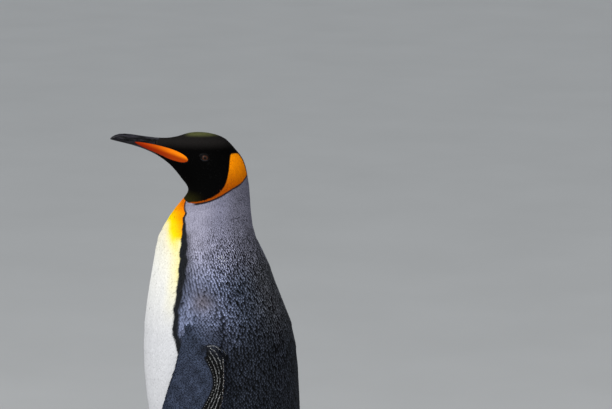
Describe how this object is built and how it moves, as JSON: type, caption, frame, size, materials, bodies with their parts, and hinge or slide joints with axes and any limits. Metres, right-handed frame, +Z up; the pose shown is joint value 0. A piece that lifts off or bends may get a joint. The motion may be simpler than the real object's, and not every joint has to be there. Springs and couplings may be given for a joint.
{
  "type": "king penguin",
  "caption": "Life-size king penguin standing still, head turned slightly to its left, flippers hanging a little forward, webbed feet flat and tail tip on the ground.",
  "frame": {"origin": "on the floor, under the middle of the bird's bounding box", "axes": "+Z up from the floor, the bird's breast faces -Y, its left side is +X"},
  "size_m": [0.3362, 0.3116, 0.92],
  "materials": {
    "head_plumage": "short, dense black feathers with orange patches behind the cheeks",
    "neck_plumage": "short, smooth silver-grey feathers",
    "back_plumage": "slate-blue scale-like feathers above, white below",
    "tail_plumage": "stiff dark tail feathers",
    "foot_skin": "dark, pebbled skin",
    "bill_horn": "smooth black horn",
    "bill_plate": "smooth orange horn",
    "eye": "wet, dark brown",
    "claw": "smooth black horn"
  },
  "bodies": {
    "root": {"head": "head_plumage", "neck": "neck_plumage", "trunk": "back_plumage", "flipper_left": "back_plumage", "flipper_right": "back_plumage", "leg_left": "back_plumage", "leg_right": "back_plumage", "tail": "tail_plumage", "maxilla": "bill_horn", "mandible": "bill_horn", "bill_plate_left": "bill_plate", "bill_plate_right": "bill_plate", "eye_left": "eye", "eye_right": "eye", "foot_left": "foot_skin", "foot_right": "foot_skin", "claw_left_inner": "claw", "claw_left_middle": "claw", "claw_left_outer": "claw", "claw_right_inner": "claw", "claw_right_middle": "claw", "claw_right_outer": "claw"}
  },
  "joints": []
}
